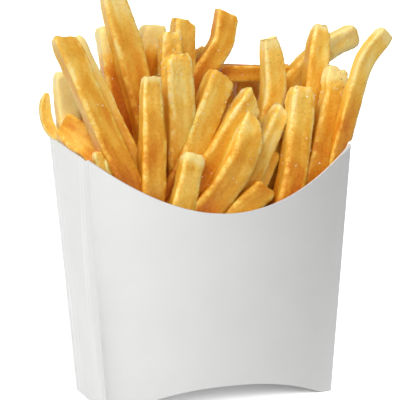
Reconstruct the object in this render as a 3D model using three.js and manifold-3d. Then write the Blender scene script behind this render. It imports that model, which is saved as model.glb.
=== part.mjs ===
/**
 * French fries standing in a folded paperboard carton, in millimetres, +Z up.
 *
 * The carton is one folded blank: a bowed front panel with a dipped rim, a taller bowed back
 * panel, a flat gusset at each side, and a bottom that arches up between two foot strips.
 * The fries are one bundle: a core in the carton, and every fry that shows joined to it.
 * The origin is on the surface that the carton stands on, at the middle of the outer box.
 */
import * as THREE from 'three';
import { ParametricGeometry } from 'three/addons/geometries/ParametricGeometry.js';
import { mergeGeometries, mergeVertices } from 'three/addons/utils/BufferGeometryUtils.js';
import Module from 'manifold-3d';

// ---- Carton sizes ----------------------------------------------------------------------

const BOARD = 0.5;            // thickness of the paperboard
const CORNER_HEIGHT = 94;     // height of the carton at its front creases
const FOOT_HALF = 44.5;       // half the width at the foot
const MOUTH_HALF = 51;        // half the width at the mouth
const FOOT_DEPTH = 35;        // gusset width at the foot
const MOUTH_DEPTH = 46;       // gusset width at the mouth
const FOOT_BOW = 5.5;         // how far the panels bow out at the foot
const MOUTH_BOW = 12;         // and at the mouth
const LEAN_BACK = 4.5;        // how far the mouth sits behind the foot
const FRONT_LOW = 73.3;       // lowest point of the front rim
const BACK_CORNER = 96;       // height of the back creases
const BACK_CROWN = 105;       // highest point of the back rim
const GUSSET_DIP = 2;         // how far the gusset's edge dips next to the front crease
const ARCH_RISE = 8;          // rise of the bottom's middle
const ARCH_HALF = 40;         // where the arch meets the foot strips
const ARCH_POWER = 2.2;       // roundness of the arch

const PANEL_STEPS = 24;       // facets across a bowed panel
const GUSSET_STEPS = 6;       // facets across a gusset
const WALL_STEPS = 3;         // facets up a wall

// ---- Bundle sizes ----------------------------------------------------------------------

const GAP = 0.4;              // clearance between the fries and the board
const CORE_TOP = 60;          // the core ends here, under the fries that show
const FOOT_LEVEL = 52;        // the fries that show start here, inside the core
const WALL_REACH = 6;         // nearest that a fry's foot comes to a wall
const CORNER = 0.2;           // corner chamfer of a fry, as a share of its width
const END_TAPER = 3;          // length over which a fry's end narrows
const END_SCALE = 0.8;        // width of its end, as a share of the fry's
const END_POWER = 2.2;        // how late in its length an end narrows
const NEAR_END = 0.35;        // how far before the end its last ring lies, as a share of its taper
const SLANT_REACH = 3;        // least length over which an end's slant sets in
const SLANT_SHARE = 0.8;      // and that length as a share of the slant's own height
const BEND_STEPS = 4;         // stretches along a bent fry
const RING_GAP = 1;           // rings nearer than this are one ring
const UPRIGHT = 0.25;         // a fry that leaves the mouth flatter than this has no foot

const FILL_LEVEL = 80;        // short fries fill the mouth from this height
const FILL_TIP = 88;          // up to this one
const FILL_RISE = 16;         // or up to this much more along the back
const FILL_WIDTH = 8.5;       // width of a short fry
const FILL_PITCH = 12;        // spacing of the short fries across the mouth
const FILL_ROWS = [ - 10, 0, 10, 20, 30 ]; // depths of their rows
const FILL_CLEARANCE = 6;     // nearest that one stands to a fry that shows
const FILL_LEAN = 8;          // how far its end may lean over
const FILL_TURN = 90;         // and how far it may be turned, in degrees
const TURN_A = 0.618;         // golden ratio, which spreads their heights evenly
const TURN_B = 0.414;         // and one that spreads their lean

const SHIFT_X = - 5.5;        // the carton's middle, from the middle of the outer box
const SHIFT_Y = - 6.3;
const MERGE = 1e-4;           // corners nearer than this are one corner

/**
 * Fries, from the front row to the back. Each leaves the carton at mouth and ends at tip; a
 * bent one passes through waist, or has a short bend there, of length corner on both sides.
 * wide and thick are its section, cut and rake slant its end in degrees, across and through
 * it, and end and taper shape a pointed or rounded one.
 */
const FRIES = [
	// Against the front panel
	{ mouth: [ 3, - 23, 71 ], tip: [ 16, - 21, 81 ], wide: 10.5, thick: 8.5, cut: - 8 },
	{ mouth: [ - 18, - 24, 76 ], tip: [ - 12, - 21, 95 ], wide: 9.5, thick: 7, end: 0.75, taper: 4 },
	{ mouth: [ - 9, - 23, 74 ], waist: [ 7, - 19, 93 ], tip: [ 13, - 14, 107 ],
		wide: 12, thick: 9, cut: 20, end: 0.35, taper: 14 },
	{ mouth: [ 24, - 21, 76 ], waist: [ 32, - 13, 99 ], tip: [ 35, - 8, 115 ],
		wide: 10.5, thick: 9.5, end: 0.75, taper: 6 },
	{ mouth: [ 36, - 17, 81 ], waist: [ 46, - 10, 104 ], tip: [ 51, - 4, 121 ],
		wide: 10.5, thick: 8, cut: 5, taper: 5 },
	{ mouth: [ - 42, - 17, 86 ], tip: [ - 43, - 17, 95 ], wide: 5, thick: 5 },
	{ mouth: [ - 28, - 20, 84 ], waist: [ - 26, - 15, 107 ], tip: [ - 25, - 12, 122 ],
		wide: 10, thick: 8.5, end: 0.74, taper: 38 },
	{ mouth: [ - 37, - 19, 86 ], tip: [ - 55, - 4, 135 ],
		wide: 10, thick: 8.5, cut: 24, rake: 25, end: 0.9, taper: 6, roll: 6 },
	{ mouth: [ 46.5, - 17, 91 ], waist: [ 56.5, - 16, 125 ], corner: 6, tip: [ 66.3, - 16.5, 135 ],
		wide: 7.5, thick: 6, end: 0.8, taper: 4 },
	// Second row
	{ mouth: [ - 9, - 19, 85 ], tip: [ 15.5, - 8, 111 ],
		wide: 10.5, thick: 8, cut: 26, end: 0.95, taper: 5 },
	{ mouth: [ 10, - 17, 81 ], tip: [ 28, - 7, 107 ], wide: 7.5, thick: 8, cut: 24, end: 0.8, taper: 5 },
	{ mouth: [ - 11, - 13, 92 ], tip: [ 5, - 4, 120 ], wide: 11, thick: 9.5, cut: 10, end: 0.88 },
	{ mouth: [ - 14, - 11, 98 ], tip: [ - 13, - 6, 129 ],
		wide: 11.5, thick: 9, cut: - 5, end: 0.72, taper: 4 },
	{ mouth: [ - 34, - 9, 96 ], tip: [ - 49, 4, 135 ], wide: 7.5, thick: 8 },
	{ mouth: [ - 45, - 16, 88 ], tip: [ - 47, - 16, 97 ], wide: 5, thick: 5 },
	{ mouth: [ 46, - 7, 82 ], tip: [ 49, - 4, 88 ], wide: 7, thick: 6 },
	{ mouth: [ 24, - 2, 98 ], waist: [ 28, 2, 118 ], tip: [ 27, 4, 132.5 ],
		wide: 9.5, thick: 8, end: 0.7, taper: 14 },
	{ mouth: [ - 42, - 13, 90 ], tip: [ - 50, 13, 102 ],
		wide: 12, thick: 9, cut: - 25, end: 0.75, taper: 8 },
	{ mouth: [ 18, - 13, 82 ], tip: [ 24, - 11, 92 ], wide: 5, thick: 5, cut: 20, end: 0.7, taper: 4 },
	// Middle
	{ mouth: [ - 25, 4, 117 ], tip: [ - 34.5, 8, 156 ], wide: 11.5, thick: 9, end: 0.68, taper: 30 },
	{ mouth: [ - 12, 3, 122 ], tip: [ - 11, 6, 136 ], wide: 9, thick: 8 },
	{ mouth: [ 44, 1, 110 ], tip: [ 50, 8, 136 ], wide: 9, thick: 8, end: 0.6, taper: 9 },
	{ mouth: [ - 21, 12, 115 ], tip: [ - 15, 12, 138 ], wide: 9.5, thick: 9, cut: - 10, end: 0.88 },
	{ mouth: [ - 29, 10, 103 ], tip: [ - 33, 14, 138 ], wide: 9.5, thick: 9 },
	{ mouth: [ - 4, 12, 120 ], tip: [ - 3, 14, 139 ], wide: 9, thick: 9, cut: 17, end: 0.95, taper: 3 },
	{ mouth: [ 3, 11, 119 ], waist: [ 14, 15, 131 ], corner: 5, tip: [ 15, 16, 141 ],
		wide: 9.5, thick: 7.5, cut: 18, end: 0.95, taper: 3 },
	{ mouth: [ 39, 12, 113 ], waist: [ 52, 15, 123 ], tip: [ 70, 18, 130.5 ], wide: 9.5, thick: 8 },
	// Along the back panel and the left gusset
	{ mouth: [ - 46, 19, 101 ], tip: [ - 46.5, 22, 121 ], wide: 9.5, thick: 8 },
	{ mouth: [ - 48, 16, 94 ], waist: [ - 54, 22, 103 ], tip: [ - 53, 23, 113 ],
		wide: 5, thick: 5, end: 0.5, taper: 6 },
	{ mouth: [ 0, 13, 114 ], tip: [ 9, 19, 127 ], wide: 8, thick: 7 },
	{ mouth: [ 12, 17, 118 ], tip: [ 42, 15, 117 ], wide: 7, thick: 8 },
	{ mouth: [ - 39, 22, 100 ], tip: [ - 40, 24, 112 ], wide: 9, thick: 8, roll: 10 },
	{ mouth: [ - 24, 26, 108 ], tip: [ - 21, 24, 131 ], wide: 9, thick: 9, roll: - 10 },
	{ mouth: [ - 5, 27, 111 ], tip: [ - 1, 26, 128 ], wide: 10.5, thick: 8 },
	{ mouth: [ 15, 26, 106 ], tip: [ 17, 24, 118 ], wide: 11, thick: 8, roll: 20 },
	{ mouth: [ 27, 28, 102 ], tip: [ 28, 26, 116 ], wide: 11.5, thick: 8, roll: 10 },
	{ mouth: [ 44, 22, 105 ], tip: [ 51, 24, 119 ], wide: 9, thick: 8, roll: 20 },
];

// ---- Carton form -----------------------------------------------------------------------

/** Halves of the width and the places of the creases at height z. */
const rise = ( z ) => z / CORNER_HEIGHT;
const halfWidth = ( z ) => THREE.MathUtils.lerp( FOOT_HALF, MOUTH_HALF, rise( z ) );
const halfDepth = ( z ) => THREE.MathUtils.lerp( FOOT_DEPTH, MOUTH_DEPTH, rise( z ) ) / 2;
const bow = ( z ) => THREE.MathUtils.lerp( FOOT_BOW, MOUTH_BOW, rise( z ) );

/** How far out a panel lies from the carton's middle, across is -1 to 1 between its creases. */
const panelReach = ( across, z ) => halfDepth( z ) + bow( z ) * ( 1 - across * across );

const archHeight = ( across ) => {

	const along = Math.min( 1, Math.abs( across ) * FOOT_HALF / ARCH_HALF );
	return ARCH_RISE * ( 1 - Math.pow( along, ARCH_POWER ) );

};

/**
 * The stations round the carton: the front panel from left to right, the right gusset, the
 * back panel and the left gusset. side is -1 at the front and 1 at the back.
 */
const STATIONS = [];

for ( let i = 0; i < PANEL_STEPS; i ++ ) STATIONS.push( { across: - 1 + 2 * i / PANEL_STEPS, side: - 1 } );
for ( let i = 0; i < GUSSET_STEPS; i ++ ) STATIONS.push( { across: 1, side: - 1 + 2 * i / GUSSET_STEPS } );
for ( let i = 0; i < PANEL_STEPS; i ++ ) STATIONS.push( { across: 1 - 2 * i / PANEL_STEPS, side: 1 } );
for ( let i = 0; i < GUSSET_STEPS; i ++ ) STATIONS.push( { across: - 1, side: 1 - 2 * i / GUSSET_STEPS } );

/** The rim: hollow in front, crowned at the back, and a straight slope along each gusset. */
const rimHeight = ( across, side ) => {

	if ( side === - 1 ) return THREE.MathUtils.lerp( FRONT_LOW, CORNER_HEIGHT, across * across );
	if ( side === 1 ) return THREE.MathUtils.lerp( BACK_CROWN, BACK_CORNER, across * across );
	return THREE.MathUtils.mapLinear( side, - 1, 1, CORNER_HEIGHT - GUSSET_DIP, BACK_CORNER );

};

/** A point of the carton's skin, inset from its outer face, at height z. */
const skinPoint = ( across, side, z, inset, target ) => target.set(
	across * ( halfWidth( z ) - inset ),
	side * ( panelReach( across, z ) - inset ) + LEAN_BACK * rise( z ),
	z
);

/** A cup between two insets of the skin, its rim raised by lift, as one closed geometry. */
function cupGeometry( outerInset, innerInset, lift ) {

	const wall = ( inset ) => ( u, v, target ) => {

		const { across, side } = STATIONS[ Math.round( u * STATIONS.length ) % STATIONS.length ];
		const foot = archHeight( across ) + inset;
		skinPoint( across, side, THREE.MathUtils.lerp( foot, rimHeight( across, side ) + lift, v ), inset, target );

	};

	const floor = ( inset ) => ( u, v, target ) => {

		const across = - 1 + 2 * u;
		skinPoint( across, - 1 + 2 * v, archHeight( across ) + inset, inset, target );

	};

	const outerWall = wall( outerInset );
	const innerWall = wall( innerInset );
	const rim = ( u, v, target ) => ( v < 0.5 ? outerWall : innerWall )( u, 1, target );
	const turned = ( surface ) => ( u, v, target ) => surface( 1 - u, v, target );

	const parts = [
		new ParametricGeometry( outerWall, STATIONS.length, WALL_STEPS ),
		new ParametricGeometry( turned( innerWall ), STATIONS.length, WALL_STEPS ),
		new ParametricGeometry( rim, STATIONS.length, 1 ),
		new ParametricGeometry( turned( floor( outerInset ) ), PANEL_STEPS, GUSSET_STEPS ),
		new ParametricGeometry( floor( innerInset ), PANEL_STEPS, GUSSET_STEPS ),
	];

	return closed( mergeGeometries( parts ) );

}

/** Joins the shared corners of a geometry, so that it is one closed skin. */
function closed( geometry ) {

	geometry.deleteAttribute( 'normal' );
	geometry.deleteAttribute( 'uv' );
	return mergeVertices( geometry, MERGE );

}

// ---- Fries -----------------------------------------------------------------------------

/** The eight corners of a fry's section, for a width and a thickness of one. */
const SECTION = [];

for ( let i = 0; i < 8; i ++ ) {

	const near = 0.5 - CORNER;
	const corner = [ [ - near, - 0.5 ], [ near, - 0.5 ], [ 0.5, - near ], [ 0.5, near ] ];
	const [ x, y ] = corner[ i % 4 ];
	SECTION.push( i < 4 ? [ x, y ] : [ - x, - y ] );

}

/** Where a fry's foot goes: on along its line to the foot level, but clear of the walls. */
function footOf( mouth, along ) {

	const foot = mouth.clone().addScaledVector( along, ( FOOT_LEVEL - mouth.z ) / along.z );
	const reachX = halfWidth( FOOT_LEVEL ) - WALL_REACH;
	foot.x = THREE.MathUtils.clamp( foot.x, - reachX, reachX );
	const middle = LEAN_BACK * rise( FOOT_LEVEL );
	const reachY = panelReach( foot.x / halfWidth( FOOT_LEVEL ), FOOT_LEVEL ) - WALL_REACH;
	foot.y = THREE.MathUtils.clamp( foot.y, middle - reachY, middle + reachY );
	return foot;

}

/** The line of a fry from its mouth to its tip: curved through its waist, or bent at it. */
function fryLine( { mouth, waist, tip, corner } ) {

	const start = new THREE.Vector3( ...mouth );
	const stop = new THREE.Vector3( ...tip );
	const bend = waist ? new THREE.Vector3( ...waist ) : start.clone().lerp( stop, 0.5 );
	const before = start.distanceTo( bend );
	const after = bend.distanceTo( stop );

	if ( corner ) {

		// Two straight lengths, joined by a short arc
		const first = bend.clone().lerp( start, corner / before );
		const last = bend.clone().lerp( stop, corner / after );
		const line = new THREE.CurvePath();
		line.add( new THREE.LineCurve3( start, first ) );
		line.add( new THREE.QuadraticBezierCurve3( first, bend, last ) );
		line.add( new THREE.LineCurve3( last, stop ) );
		return line;

	}

	// The control point that takes the curve through the waist
	const share = before / ( before + after );
	const control = bend.clone()
		.addScaledVector( start, - ( 1 - share ) * ( 1 - share ) )
		.addScaledVector( stop, - share * share )
		.divideScalar( 2 * share * ( 1 - share ) );
	return new THREE.QuadraticBezierCurve3( start, control, stop );

}

/** How far along its line a fry has rings: where it bends, and where its end narrows. */
function ringPlaces( { waist, corner, taper = END_TAPER }, line ) {

	const length = line.getLength();
	const places = [ 0, length - taper, length - taper * NEAR_END ];
	if ( corner ) {

		const [ first, last ] = line.getCurveLengths();
		places.push( first, ( first + last ) / 2, last );

	} else if ( waist ) {

		for ( let i = 1; i < BEND_STEPS; i ++ ) places.push( length * i / BEND_STEPS );

	}

	places.sort( ( a, b ) => a - b );
	const apart = places.filter( ( place, i ) => i === 0 || place - places[ i - 1 ] > RING_GAP );
	return [ ...apart, length ];

}

/** One fry as a closed skin through rings, from its foot in the core to its cut end. */
function fryGeometry( fry ) {

	const { wide, thick, roll = 0, cut = 0, rake = 0, end = END_SCALE, taper = END_TAPER } = fry;
	const line = fryLine( fry );
	const length = line.getLength();
	const slant = Math.tan( THREE.MathUtils.degToRad( cut ) );
	const slope = Math.tan( THREE.MathUtils.degToRad( rake ) );
	const slantHeight = Math.abs( slant ) * wide + Math.abs( slope ) * thick;
	const slantReach = Math.max( SLANT_REACH, SLANT_SHARE * slantHeight );

	const start = line.getPointAt( 0 );
	const along = line.getTangentAt( 0 );
	const rings = [];
	if ( along.z > UPRIGHT ) rings.push( { middle: footOf( start, along ), place: 0 } );
	for ( const place of ringPlaces( fry, line ) ) {

		rings.push( { middle: line.getPointAt( place / length ), place } );

	}

	const points = [];
	for ( const { middle, place } of rings ) {

		const near = THREE.MathUtils.clamp( ( place - length + taper ) / taper, 0, 1 );
		const scale = 1 - ( 1 - end ) * Math.pow( near, END_POWER );
		const slanted = THREE.MathUtils.smoothstep( place, length - slantReach, length );
		const direction = line.getTangentAt( place / length );
		const face = new THREE.Vector3( 0, - 1, 0 ).projectOnPlane( direction ).normalize();
		face.applyAxisAngle( direction, THREE.MathUtils.degToRad( roll ) );
		const across = face.clone().cross( direction );
		for ( const [ x, y ] of SECTION ) {

			points.push( middle.clone()
				.addScaledVector( across, x * wide * scale )
				.addScaledVector( face, y * thick * scale )
				.addScaledVector( direction, ( x * wide * slant + y * thick * slope ) * scale * slanted ) );

		}

	}

	return loft( points, SECTION.length );

}

/** Where a fry's axis passes a level that is below its tip. */
function axisAt( { mouth, tip }, level ) {

	const start = new THREE.Vector3( ...mouth );
	const along = new THREE.Vector3( ...tip ).sub( start ).normalize();
	if ( along.z < UPRIGHT ) return start;
	const from = start.z > level ? footOf( start, along ) : new THREE.Vector3( ...tip );
	return from.lerp( start, ( level - from.z ) / ( start.z - from.z ) );

}

/** Short fries on a staggered grid, that fill the mouth wherever no other fry stands. */
function shortFries() {

	const standing = FRIES.map( ( fry ) => axisAt( fry, FILL_LEVEL ) );
	const found = [];
	for ( const [ row, depth ] of FILL_ROWS.entries() ) {

		const columns = Math.floor( halfWidth( FILL_LEVEL ) / FILL_PITCH );
		for ( let column = - columns; column <= columns; column ++ ) {

			const place = new THREE.Vector3( ( column + ( row % 2 ) / 2 ) * FILL_PITCH, depth, FILL_LEVEL );
			const across = place.x / halfWidth( FILL_LEVEL );
			const room = panelReach( across, FILL_LEVEL ) - WALL_REACH;
			const offMiddle = Math.abs( depth - LEAN_BACK * rise( FILL_LEVEL ) );
			const inside = Math.abs( across ) < 1 - WALL_REACH / MOUTH_HALF && offMiddle < room;
			const free = standing.every( ( other ) => other.distanceTo( place ) > FILL_CLEARANCE );
			if ( ! inside || ! free ) continue;

			const spreadA = ( found.length * TURN_A ) % 1;
			const spreadB = ( found.length * TURN_B ) % 1;
			const top = FILL_TIP + spreadA * FILL_RISE * row / ( FILL_ROWS.length - 1 );
			found.push( {
				mouth: place.toArray(),
				tip: [ place.x + ( spreadB - 0.5 ) * FILL_LEAN, depth, top ],
				wide: FILL_WIDTH,
				thick: FILL_WIDTH,
				roll: spreadB * FILL_TURN,
			} );

		}

	}

	return found;

}

/** A closed skin through rings of equal count, with a flat fan over both ends. */
function loft( points, count ) {

	const rings = points.length / count;
	const index = [];
	for ( let r = 0; r < rings - 1; r ++ ) {

		for ( let i = 0; i < count; i ++ ) {

			const a = r * count + i;
			const b = r * count + ( i + 1 ) % count;
			index.push( a, b, b + count, a, b + count, a + count );

		}

	}

	const last = points.length - count;
	for ( let i = 1; i < count - 1; i ++ ) {

		index.push( 0, i + 1, i );
		index.push( last, last + i, last + i + 1 );

	}

	const geometry = new THREE.BufferGeometry().setFromPoints( points );
	geometry.setIndex( index );
	return geometry;

}

// ---- Joining and cutting ---------------------------------------------------------------

const wasm = await Module();
wasm.setup();

const toSolid = ( geometry ) => new wasm.Manifold( new wasm.Mesh( {
	numProp: 3,
	vertProperties: new Float32Array( geometry.attributes.position.array ),
	triVerts: new Uint32Array( geometry.index.array ),
} ) );

function toGeometry( solid ) {

	const { vertProperties, triVerts } = solid.getMesh();
	const geometry = new THREE.BufferGeometry();
	geometry.setAttribute( 'position', new THREE.BufferAttribute( vertProperties, 3 ) );
	geometry.setIndex( new THREE.BufferAttribute( triVerts, 1 ) );
	geometry.computeVertexNormals();
	return geometry;

}

/** The bundle: the core and the fries as one piece, cut back to clear the board all round. */
function bundleGeometry() {

	const roomy = 2 * ( MOUTH_HALF + MOUTH_BOW );
	const block = new THREE.BoxGeometry( roomy, roomy, CORE_TOP ).translate( 0, 0, CORE_TOP / 2 );
	let bundle = toSolid( closed( block ) );
	for ( const fry of [ ...FRIES, ...shortFries() ] ) bundle = bundle.add( toSolid( fryGeometry( fry ) ) );

	// A thick jacket over the carton, that the fries keep clear of below its rim
	const outside = - MOUTH_HALF;
	const jacket = toSolid( cupGeometry( outside, BOARD + GAP, GAP ) );
	const pieces = bundle.subtract( jacket ).decompose();
	return toGeometry( pieces.reduce( ( most, piece ) => piece.volume() > most.volume() ? piece : most ) );

}

// ---- Scene graph -----------------------------------------------------------------------

const paperboard = new THREE.MeshStandardMaterial( { color: 0xf1f0ee, roughness: 0.6, metalness: 0 } );
const friedPotato = new THREE.MeshStandardMaterial( { color: 0xe3a94b, roughness: 0.55, metalness: 0 } );

const cartonShape = cupGeometry( 0, BOARD, 0 );
cartonShape.computeVertexNormals();
const carton = new THREE.Mesh( cartonShape, paperboard );
carton.name = 'carton';

const fries = new THREE.Mesh( bundleGeometry(), friedPotato );
fries.name = 'fries';

const filledCarton = new THREE.Group();
filledCarton.add( carton, fries );
filledCarton.position.set( SHIFT_X, SHIFT_Y, 0 );
filledCarton.updateMatrixWorld( true );

export default filledCarton;
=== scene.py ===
"""French fries standing in a folded paperboard carton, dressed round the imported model, +Z up.

Sizes are millimetres measured from the carton's own middle, and become metres in the row frame when a
mesh is made. The carton stands on its foot strips at z = 0, with its dipped rim towards -Y.
"""
import math
from functools import partial

import bpy
import numpy as np
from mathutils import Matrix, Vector


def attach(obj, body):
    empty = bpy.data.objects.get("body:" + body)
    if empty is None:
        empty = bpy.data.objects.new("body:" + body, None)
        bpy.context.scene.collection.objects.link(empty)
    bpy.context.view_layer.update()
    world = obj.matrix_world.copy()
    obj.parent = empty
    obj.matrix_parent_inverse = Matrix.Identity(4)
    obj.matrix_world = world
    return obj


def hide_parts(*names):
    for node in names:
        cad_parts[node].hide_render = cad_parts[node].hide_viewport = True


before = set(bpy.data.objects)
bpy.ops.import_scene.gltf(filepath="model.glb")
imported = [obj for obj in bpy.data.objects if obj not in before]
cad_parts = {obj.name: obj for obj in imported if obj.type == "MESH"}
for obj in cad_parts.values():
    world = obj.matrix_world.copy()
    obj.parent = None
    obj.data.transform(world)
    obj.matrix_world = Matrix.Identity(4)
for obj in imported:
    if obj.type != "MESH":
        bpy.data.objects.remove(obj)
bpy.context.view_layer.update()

# ---- Carton --------------------------------------------------------------------------------------
# One blank of white coated paperboard, die cut, scored and folded: a bowed front panel with a dipped
# rim, a taller bowed back panel, a gusset at each side and a bottom that arches between two foot
# strips. The gussets are folded slightly in along the pressed scores that let the blank lie flat.

METRE = 1000.0
MIDDLE = np.array([-5.5, -6.3, 0.0])    # the carton's middle in the row frame
BOARD = 0.5                             # thickness of the board
CORNER_HEIGHT = 94.0                    # height at the front creases
BACK_CORNER, BACK_CROWN = 96.0, 105.0   # height at the back creases, and of the back rim's middle
FRONT_LOW = 73.3                        # lowest point of the front rim
GUSSET_DIP, DIP_RATE = 2.0, 3.0         # how far a gusset's edge dips next to its front crease, how soon
FOOT_HALF, MOUTH_HALF = 44.5, 51.0      # half the width
FOOT_DEPTH, MOUTH_DEPTH = 35.0, 46.0    # width of a gusset
FOOT_BOW, MOUTH_BOW = 5.5, 12.0         # how far the panels bow out
LEAN_BACK = 4.5                         # how far the mouth sits behind the foot
ARCH_RISE, ARCH_HALF, ARCH_POWER = 8.0, 40.0, 2.2

# Relief of a gusset and of the panels next to the front creases. A ramp is the level where
# something starts to rise from 0 to 1 and the height over which it does.
SCORE_DEPTH, SCORE_HALF = 0.35, 0.6     # a pressed score line
SCORE_BACK, SCORE_BOW = 16.5, 3.0       # the curved score, behind the front crease, and its bow
SCORE_KNEE, SCORE_ROUND = 36.0, 0.65    # level where it turns down into the bottom corner, how round
TWIN_GAP, TWIN_DEPTH = 3.2, 0.8         # a second score in front of it
BACK_SCORES = ((3.6, 0.9), (8.2, 0.6))  # straight ones before the back crease, and their depth
RIM_SCORES, RIM_DEPTH = (26.5, 28.9), 0.5   # two short ones under the rim
FOLD_IN, FOLD_ROUND = 1.1, 2.5          # how far a gusset is folded in at its curved score, how round
FOLD_SOFT, FOLD_SETTLE = 0.9, 8.0       # share of the fold past which it eases, and how soon
HOLLOW, HOLLOW_REACH = 1.1, 8.0         # hollow that the front left crease pulls into its panel
SHALLOW = 0.25                          # share of it at the front right crease, and half that behind
TWIN_RAMP, SCORE_RAMP, RIM_RAMP = (0.0, 40.0), (10.0, 50.0), (78.0, 8.0)
FOLD_RAMP, HOLLOW_RAMP = (0.0, 30.0), (20.0, 60.0)

PANEL_STEPS, GUSSET_STEPS, WALL_STEPS = 96, 96, 96
TOWARDS_CREASE = 0.4                    # how much closer a panel's steps lie at its creases
SHARP = 80.0                            # a fold is rounder than this, and a cut edge is square
CUT_EDGE = 1                            # the cut edge's place among the carton's materials


def smooth(t):
    t = np.clip(t, 0.0, 1.0)
    return t * t * (3.0 - 2.0 * t)


def risen(z, ramp):
    return smooth((z - ramp[0]) / ramp[1])


def rise(z):
    return z / CORNER_HEIGHT


def half_width(z):
    return FOOT_HALF + (MOUTH_HALF - FOOT_HALF) * rise(z)


def depth(z):
    return FOOT_DEPTH + (MOUTH_DEPTH - FOOT_DEPTH) * rise(z)


def panel_reach(across, z):
    """How far a panel lies from the middle; across is -1 to 1 between its creases."""
    return depth(z) / 2 + (FOOT_BOW + (MOUTH_BOW - FOOT_BOW) * rise(z)) * (1 - across ** 2)


def arch_height(across):
    along = np.minimum(1.0, np.abs(across) * FOOT_HALF / ARCH_HALF)
    return ARCH_RISE * (1 - along ** ARCH_POWER)


def rim_height(across, side):
    """side is -1 on the front panel, 1 on the back panel and between them on a gusset."""
    front = FRONT_LOW + (CORNER_HEIGHT - FRONT_LOW) * across ** 2
    back = BACK_CROWN + (BACK_CORNER - BACK_CROWN) * across ** 2
    dipped = CORNER_HEIGHT - GUSSET_DIP * smooth((1 + side) * DIP_RATE)
    gusset = dipped + (BACK_CORNER - dipped) * (1 + side) / 2
    return np.where(side <= -1, front, np.where(side >= 1, back, gusset))


def curved_score(z):
    """How far behind the front crease a gusset's curved score runs, down into the bottom corner."""
    upper = SCORE_BACK - SCORE_BOW * ((z - SCORE_KNEE) / (CORNER_HEIGHT - SCORE_KNEE)) ** 2
    lower = SCORE_BACK * np.clip(z / SCORE_KNEE, 0.0, 1.0) ** SCORE_ROUND
    return np.where(z > SCORE_KNEE, upper, lower)


def line(distance):
    return np.exp(-(distance / SCORE_HALF) ** 2)


def gusset_relief(behind, before, z):
    """The fold and the scores; behind and before are the distances from the front and back crease."""
    score = curved_score(z)
    twin = score - TWIN_GAP * risen(z, TWIN_RAMP)
    bent = 1 - (1 - np.clip(behind / np.maximum(twin, 0.1), 0, 1)) ** FOLD_ROUND
    fold = np.minimum(bent, before / (depth(z) - twin))
    eased = FOLD_SOFT + (1 - FOLD_SOFT) * np.tanh((fold - FOLD_SOFT) * FOLD_SETTLE)
    fold = FOLD_IN * np.where(fold < FOLD_SOFT, fold, eased)
    lines = (line(behind - score) + TWIN_DEPTH * line(behind - twin)) * (0.4 + 0.6 * risen(z, SCORE_RAMP))
    for distance, share in BACK_SCORES:
        lines += share * line(before - distance)
    for distance in RIM_SCORES:
        lines += RIM_DEPTH * risen(z, RIM_RAMP) * line(before - distance)
    return fold * risen(z, FOLD_RAMP) + SCORE_DEPTH * lines * smooth(np.minimum(behind, before))


def panel_relief(across, side, z):
    """The hollows next to the creases."""
    inboard = (1 - np.abs(across)) * half_width(z) / HOLLOW_REACH
    hollow = HOLLOW * inboard * np.exp(1 - inboard) * (1 - 0.5 * risen(z, HOLLOW_RAMP))
    return hollow * np.where(side > 0, SHALLOW / 2, np.where(across > 0, SHALLOW, 1.0))


def pressed_in(across, side, z):
    """How far the board lies inside its plain folded form."""
    gusset = gusset_relief((1 + side) / 2 * depth(z), (1 - side) / 2 * depth(z), z)
    return np.where(np.abs(side) < 1, gusset, panel_relief(across, side, z))


def folded_skin(across, side, z, inset):
    """Points of the folded board, inset from its outer face."""
    deep = inset + pressed_in(across, side, z)
    on_gusset = np.abs(side) < 1
    x = across * (half_width(z) - np.where(on_gusset, deep, inset))
    y = side * (panel_reach(across, z) - np.where(on_gusset, inset, deep)) + LEAN_BACK * rise(z)
    return np.stack(np.broadcast_arrays(x, y, z), axis=-1)


def ring_quads(rings, count):
    """The faces between rings of points that lie one after another."""
    here = np.arange(rings - 1)[:, None] * count + np.arange(count)
    there = np.arange(rings - 1)[:, None] * count + (np.arange(count) + 1) % count
    return np.stack([here, there, there + count, here + count], axis=-1).reshape(-1, 4)


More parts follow.
